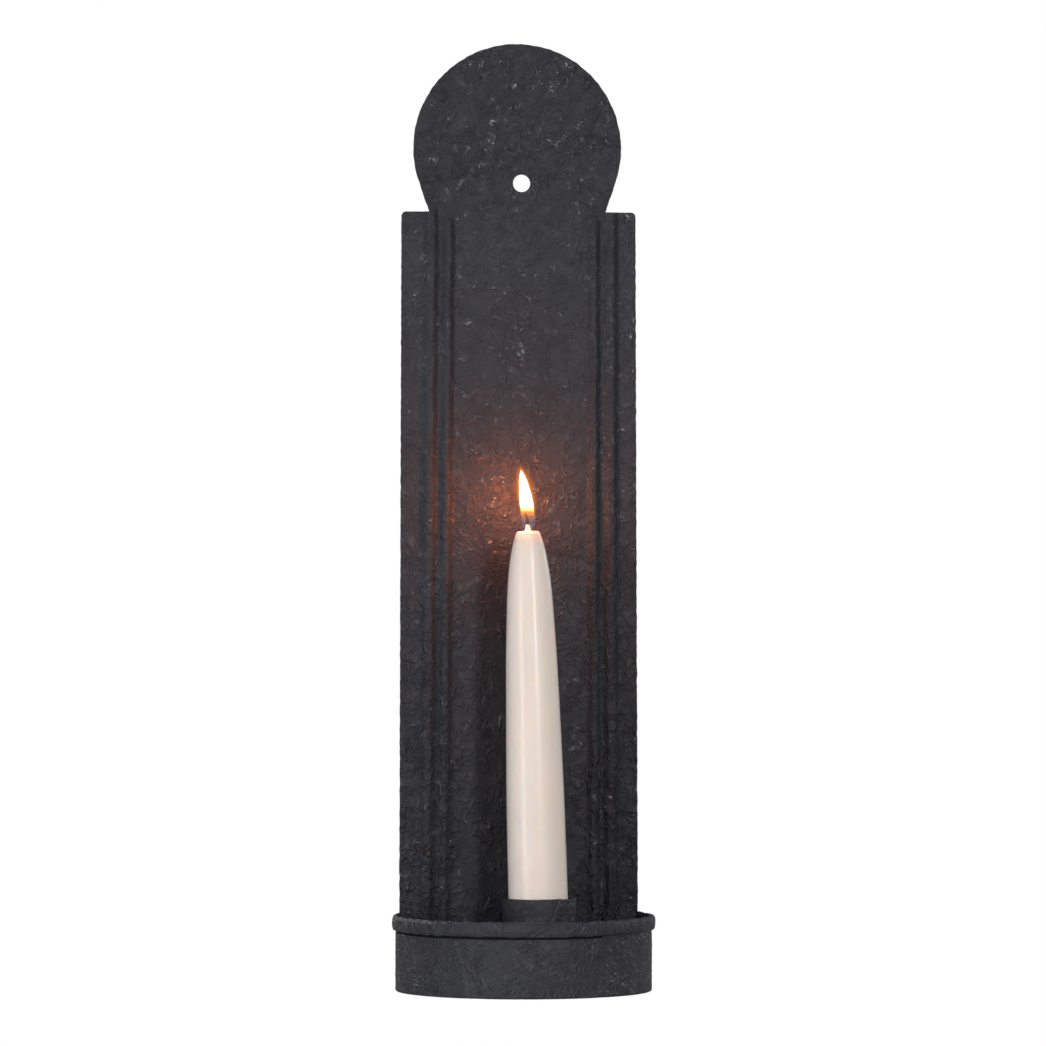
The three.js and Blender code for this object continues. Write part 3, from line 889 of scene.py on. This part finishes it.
def candle_cup(material):
    """A rolled tube. Its outer end laps over itself and stands a little proud at the seam."""
    inner = CUP_RADIUS - CUP_WALL
    outline = np.array([
        (inner, FLOOR_TOP), (CUP_RADIUS, FLOOR_TOP), (CUP_RADIUS, CUP_TOP - 0.4),
        (CUP_RADIUS - 0.18, CUP_TOP - 0.05), (CUP_RADIUS - 0.45, CUP_TOP),
        (inner + 0.2, CUP_TOP - 0.05), (inner, CUP_TOP - 0.3),
    ])
    profile = subdivided(outline, stations(outline, CELL * 0.8))
    normals = profile_normals(profile)
    sections = []
    for angle in np.linspace(-math.pi, math.pi, 144, endpoint=False):
        along = np.full(len(profile), angle * CUP_RADIUS)
        outside = profile[:, 0] > CUP_RADIUS - 0.3
        lap = (1 - eased(angle, SEAM_ANGLE, SEAM_ANGLE + 0.05)) * eased(angle, SEAM_ANGLE - 1.3, SEAM_ANGLE)
        fade = 1 - eased(abs(angle), 2.6, math.pi)
        relief = 0.7 * crinkle(along, profile[:, 1], 300) * fade * np.where(outside, 1, 0.4)
        relief += 0.3 * lap * outside
        moved = profile + normals * relief[:, None]
        sections.append(turned_section(moved, angle, CUP_X, CUP_DEPTH))
    vertices, faces = lofted(sections, True)
    piece("cup_tube", vertices, faces, material, replaces=["candle_cup"])


# ---- Candle, wick and flame. Each is built upright on its own axis and then leaned with it. ----

lean = math.atan2(-lift_axis[0], lift_axis[2])
candle_base = np.array([
    (candle_high[0] - ORIGIN[0]) / MM - CANDLE_BASE_RADIUS * math.cos(lean),
    (candle_low[1] + candle_high[1]) / 2 / MM,
    (candle_low[2] - ORIGIN[2]) / MM + CANDLE_BASE_RADIUS * math.sin(lean),
])
SHOULDER = CANDLE_SHOULDER_HEIGHT - candle_base[2]


def leaned(points):
    """Points on the candle's own upright axis, moved to where the candle leans."""
    points = np.asarray(points, float)
    x = points[..., 0] * math.cos(lean) - points[..., 2] * math.sin(lean)
    z = points[..., 0] * math.sin(lean) + points[..., 2] * math.cos(lean)
    return np.stack([x, points[..., 1], z], -1) + candle_base


def taper_radius(below_top):
    """The candle's radius at a distance below its shoulder."""
    depths = (0.0, 0.6, 2.2, 4.9, 9.0, 13.5, 19.0, 25.0, 34.0, 46.0, 60.0, 76.0, 98.0, 120.0, 172.0)
    radii = (3.9, 4.5, 5.05, 5.85, 6.7, 7.45, 8.05, 8.5, 8.95, 9.5, 9.9, 10.3, 10.75, 11.0, 11.3)
    return np.interp(below_top, depths, radii)


def candle(material):
    """The taper, slightly out of round, with a small melted crown round the wick."""
    body, neck = np.linspace(0.9, SHOULDER - 12, 110), SHOULDER - np.linspace(11, 0, 22)
    heights = np.concatenate([[0.0, 0.35], body, neck])
    smooth = np.array([np.mean(taper_radius(SHOULDER - z + np.linspace(-1.4, 1.4, 9))) for z in heights])
    radii = np.where(SHOULDER - heights < 1.4, taper_radius(SHOULDER - heights), smooth)
    radii[0] -= 0.3
    crown = [(3.3, 0.1), (2.2, -0.05), (1.45, 0.05), (1.15, 0.5)]
    crown += [(0.95, 1.2), (0.78, 1.9), (0.66, 2.35), (0.4, 2.5)]
    side = [(r, z) for r, z in zip(radii, heights)] + [(r, SHOULDER + up) for r, up in crown]
    rings = []
    turn = np.linspace(0, 2 * math.pi, 96, endpoint=False)
    for radius, z in side:
        worn = radius * (1 + 0.004 * waves(turn * 2, np.full(96, z / 22), 91) * np.sin(turn / 2))
        rings.append(np.stack([worn * np.cos(turn), worn * np.sin(turn), np.full(96, z)], 1))
    vertices, faces = lofted(rings)
    return piece("candle_wax", leaned(vertices), faces, material, "candle", ["candle"])


def tube(points, radius):
    """Rings of eight round a path, each square to it."""
    heading = np.gradient(points, axis=0)
    heading /= np.linalg.norm(heading, axis=1, keepdims=True)
    across = np.cross(heading, [0, 1, 0])
    across /= np.linalg.norm(across, axis=1, keepdims=True)
    up = np.cross(heading, across)
    turn = np.linspace(0, 2 * math.pi, 8, endpoint=False)
    return [p + r * (np.outer(np.cos(turn), a) - np.outer(np.sin(turn), u))
            for p, r, a, u in zip(points, radius, across, up)]


def wick(material):
    """Three strands twisted together. The burnt end curls over to the left."""
    vertices, faces = [], []
    hidden, shown = np.linspace(0.4, SHOULDER - 4, 12), np.linspace(SHOULDER - 3, SHOULDER + 6.9, 46)
    heights = np.concatenate([hidden, shown])
    burnt = np.clip((heights - SHOULDER - 2.5) / 4.4, 0, 1)
    for strand in range(3):
        angle = 2 * math.pi * strand / 3 + 1.35 * np.clip(heights - SHOULDER + 4, 0, None)
        x = 0.25 * np.cos(angle) - WICK_CURL * burnt ** 2
        y = 0.25 * np.sin(angle)
        rings = tube(np.stack([x, y, heights], 1), WICK_STRAND_RADIUS * (1 - 0.35 * burnt ** 3))
        these, those = lofted(rings)
        faces += [tuple(v + len(vertices) for v in face) for face in those]
        vertices += these.tolist()
    piece("braided_wick", leaned(vertices), faces, material, "candle", ["wick"])


def flame_shape(width, low, high):
    """A drop of gas round the wick, bending left as it rises. Heights are above the candle's shoulder."""
    rises = np.linspace(low, high, 36)
    shares = (rises - low) / (high - low)
    outline = ((0, 1.5), (0.03, 2.1), (0.08, 2.45), (0.2, 2.75), (0.34, 2.8), (0.5, 2.6), (0.63, 2.25),
               (0.77, 1.85), (0.88, 1.25), (0.96, 0.6), (1, 0.1))
    radii = np.interp(shares, *zip(*outline)) * width
    radii[1:-1] = (radii[:-2] + 2 * radii[1:-1] + radii[2:]) / 4
    drift = 0.3 - 2.3 * np.clip((rises - 2) / 21.3, 0, None) ** 1.5
    turn = np.linspace(0, 2 * math.pi, 28, endpoint=False)
    rings = [np.stack([d + r * np.cos(turn), r * np.sin(turn), np.full(28, SHOULDER + z)], 1)
             for d, r, z in zip(drift, radii, rises)]
    return lofted(rings)


WHITE_HOT = (1.0, 0.9, 0.7)
YELLOW = (1.0, 0.66, 0.24)
ORANGE = (1.0, 0.33, 0.07)
BROWN = (0.5, 0.14, 0.03)
BLUE = (0.25, 0.27, 0.37)
RED_HAZE = (0.95, 0.2, 0.045)

# Each lamp in the flame: watts, colour, and how far right of and behind the candle's axis it is, in mm.
LIGHT_ON_METAL = (0.075, (1.0, 0.23, 0.06), (-1.5, 8.0))
LIGHT_ON_WAX = (0.028, (1.0, 0.46, 0.24), (-0.6, 0.0))
LAMP_HEIGHT = 12
LAMP_RADIUS = 0.0028

FLAME_SHELLS = (
    # name, width, lowest, highest, brightness, and stops of (height above the wax, colour, how solid)
    ("flame_core", 0.86, 3.4, 22.6, 9.0,
     ((3.4, BROWN, 0.0), (5.6, BROWN, 0.02), (7.2, ORANGE, 0.05), (8.8, YELLOW, 0.3),
      (10.4, WHITE_HOT, 1.0))),
    ("flame_body", 0.97, 3.4, 23.0, 2.4,
     ((3.4, BROWN, 0.0), (5.4, BROWN, 0.1), (7.8, ORANGE, 0.24), (10.5, YELLOW, 0.32),
      (23.0, YELLOW, 0.4))),
    ("flame_mantle", 1.04, 0.7, 23.5, 1.1,
     ((0.7, BLUE, 0.12), (5.0, BLUE, 0.13), (8.0, ORANGE, 0.12), (14.0, ORANGE, 0.2), (23.5, ORANGE, 0.3))),
    ("flame_veil", 1.14, 6.0, 24.0, 0.8,
     ((6.0, ORANGE, 0.0), (11.0, ORANGE, 0.16), (16.0, ORANGE, 0.36), (24.0, ORANGE, 0.26))),
    ("flame_glow", 1.3, 6.4, 24.6, 0.7,
     ((6.4, ORANGE, 0.0), (11.0, ORANGE, 0.09), (17.0, ORANGE, 0.2), (24.6, ORANGE, 0.12))),
    ("flame_haze", 1.55, 6.8, 25.4, 0.6,
     ((6.8, RED_HAZE, 0.0), (12.0, RED_HAZE, 0.07), (17.0, RED_HAZE, 0.14), (25.4, RED_HAZE, 0.08))),
    ("flame_halo", 1.9, 7.2, 26.4, 0.5,
     ((7.2, RED_HAZE, 0.0), (12.0, RED_HAZE, 0.03), (18.0, RED_HAZE, 0.07), (26.4, RED_HAZE, 0.04))),
)


def flame(wax):
    """The flame's nested shells and its two lamps, which ride on the candle with them."""
    for name, width, low, high, strength, levels in FLAME_SHELLS:
        foot, tip = leaned([[0, 0, SHOULDER + low], [0, 0, SHOULDER + high]])[:, 2] * MM + ORIGIN[2]
        stops = [((level - low) / (high - low), (*colour, solid)) for level, colour, solid in levels]
        vertices, faces = flame_shape(width, low, high)
        gas = flame_light(name, foot, tip, stops, strength)
        shell = piece(name, leaned(vertices), faces, gas, "candle")
        shell.visible_shadow = False
        shell.visible_diffuse = False
        shell.visible_glossy = False
    on_wax = bpy.data.collections.new("wax_only")
    on_wax.objects.link(wax)
    on_metal = bpy.data.collections.new("all_but_wax")
    on_metal.objects.link(wax)
    on_metal.collection_objects[0].light_linking.link_state = "EXCLUDE"
    flame_lamp("light_on_metal", *LIGHT_ON_METAL, on_metal, shell)
    flame_lamp("light_on_wax", *LIGHT_ON_WAX, on_wax, shell)


def flame_lamp(name, energy, colour, place, receivers, carrier):
    """The flame's light. It takes two lamps, because the wax just below it would burn out in the one."""
    glow = bpy.data.lights.new(name, "POINT")
    glow.energy = energy
    glow.color = colour
    glow.shadow_soft_size = LAMP_RADIUS
    lamp = bpy.data.objects.new(name, glow)
    lamp.location = leaned([[*place, SHOULDER + LAMP_HEIGHT]])[0] * MM + ORIGIN
    bpy.context.scene.collection.objects.link(lamp)
    lamp.parent = carrier
    lamp.matrix_parent_inverse = carrier.matrix_world.inverted()
    lamp.light_linking.receiver_collection = receivers


# ---- Stage, light and camera ----

FRONT_GLOW = 0.08
BACK_GLOW = 0.22
GROUND_GLOW = 0.15

SOFTBOXES = (
    # name, place from the sconce's middle in m, width, height, watts, colour
    ("key", (0.78, -2.9, 0.7), 0.34, 1.5, 45, (1.0, 0.99, 0.99)),
    ("side", (-0.8, -0.6, -0.05), 0.3, 0.6, 4.2, (0.96, 0.97, 1.0)),
    ("front", (-0.2, -2.2, 0.1), 2.6, 1.2, 4.5, (0.97, 0.98, 1.0)),
    ("top", (-0.25, -0.75, 1.2), 0.11, 0.11, 2.6, (1.0, 1.0, 1.0)),
    ("rear_left", (-0.9, 1.3, 0.7), 0.5, 0.7, 9, (1.0, 1.0, 1.0)),
    ("rear_right", (1.3, 0.7, 0.5), 0.5, 0.9, 5, (1.0, 1.0, 1.0)),
)

FLOOR_HALF = 8.0
FLOOR_DROP = 0.8

CAMERA_YAW = math.radians(6.5)
CAMERA_DISTANCE = 2.4
CAMERA_TARGET = (0.0, -15.0, 175.0)
CAMERA_LENS = 220.3


def softbox(name, place, width, height, energy, colour):
    """A rectangular lamp that faces the middle of the sconce. place is from that middle, in metres."""
    light = bpy.data.lights.new(name, "AREA")
    light.shape = "RECTANGLE"
    light.size, light.size_y = width, height
    light.energy = energy
    light.color = colour
    lamp = bpy.data.objects.new(name, light)
    middle = (cad_box[0] + cad_box[1]) / 2
    lamp.location = middle + Vector(place)
    lamp.rotation_mode = "QUATERNION"
    lamp.rotation_quaternion = (middle - lamp.location).to_track_quat("-Z", "Y")
    bpy.context.scene.collection.objects.link(lamp)


def wall_glow(tree):
    """How bright the world is as light: more behind than in front, and some from below."""
    direction = tree.nodes.new("ShaderNodeTexCoord")
    split = tree.nodes.new("ShaderNodeSeparateXYZ")
    tree.links.new(direction.outputs["Generated"], split.inputs[0])
    total = tree.nodes.new("ShaderNodeMath")
    total.operation = "ADD"
    shares = (("Y", -0.3, 0.8, FRONT_GLOW, BACK_GLOW), ("Z", 0.0, -0.5, 0.0, GROUND_GLOW))
    for slot, (axis, *numbers) in enumerate(shares):
        share = tree.nodes.new("ShaderNodeMapRange")
        share.interpolation_type = "SMOOTHSTEP"
        set_range(share, *numbers)
        tree.links.new(split.outputs[axis], share.inputs["Value"])
        tree.links.new(share.outputs["Result"], total.inputs[slot])
    return total.outputs[0]


def studio():
    """White to the camera. As light it is dim in front and bright behind, like a lit white wall."""
    world = bpy.data.worlds.new("studio")
    bpy.context.scene.world = world
    world.use_nodes = True
    tree = world.node_tree
    tree.nodes.clear()
    seen = tree.nodes.new("ShaderNodeBackground")
    seen.inputs["Color"].default_value = (1, 1, 1, 1)
    seen.inputs["Strength"].default_value = 1.0
    around = tree.nodes.new("ShaderNodeBackground")
    around.inputs["Color"].default_value = (1.0, 0.99, 0.98, 1)
    tree.links.new(wall_glow(tree), around.inputs["Strength"])
    path = tree.nodes.new("ShaderNodeLightPath")
    mix = tree.nodes.new("ShaderNodeMixShader")
    output = tree.nodes.new("ShaderNodeOutputWorld")
    tree.links.new(path.outputs["Is Camera Ray"], mix.inputs[0])
    tree.links.new(around.outputs[0], mix.inputs[1])
    tree.links.new(seen.outputs[0], mix.inputs[2])
    tree.links.new(mix.outputs[0], output.inputs["Surface"])
    for row in SOFTBOXES:
        softbox(*row)


def floor():
    """A wide pale floor well below the sconce, which hangs above it."""
    half = FLOOR_HALF
    z = cad_box[0][2] - FLOOR_DROP
    corners = [(-half, -half, z), (half, -half, z), (half, half, z), (-half, half, z)]
    mesh = bpy.data.meshes.new("floor")
    mesh.from_pydata(corners, [], [(0, 1, 2, 3)])
    mesh.materials.append(pale_floor())
    thing = bpy.data.objects.new("floor", mesh)
    bpy.context.scene.collection.objects.link(thing)
    thing.visible_diffuse = False
    thing.visible_glossy = False


def camera():
    """Level with the middle of the sconce and a little to its left, far enough back for a long lens."""
    target = Vector(ORIGIN) + Vector(CAMERA_TARGET) * MM
    data = bpy.data.cameras.new("camera")
    data.lens = CAMERA_LENS
    data.clip_end = 50
    thing = bpy.data.objects.new("camera", data)
    forward = Vector((math.sin(CAMERA_YAW), math.cos(CAMERA_YAW), 0))
    thing.location = target - forward * CAMERA_DISTANCE
    thing.rotation_mode = "QUATERNION"
    thing.rotation_quaternion = forward.to_track_quat("-Z", "Y")
    bpy.context.scene.collection.objects.link(thing)
    bpy.context.scene.camera = thing


camera()
paint = textured_paint("textured_paint")
# Painted light: the tray and cup get the same paint made 1.3 times paler, to stand in for the extra light
# they catch.
lit_tray_paint = textured_paint("lit_tray_paint", 1.3, 1.7, 0.3)
back_plate(paint)
tray_band(lit_tray_paint, painted_shade_slit())
frame["nodes"]["tray_floor"].data.materials.clear()
frame["nodes"]["tray_floor"].data.materials.append(paint)
band_seam(paint)
cup_seam(paint)
plate_seam(paint)
end_seam(-1, "left", paint)
end_seam(1, "right", paint)
candle_cup(lit_tray_paint)
wax = candle(candle_wax())
wick(charred_wick())
flame(wax)
studio()
floor()
bpy.context.scene.view_settings.view_transform = "Standard"

bpy.context.view_layer.update()
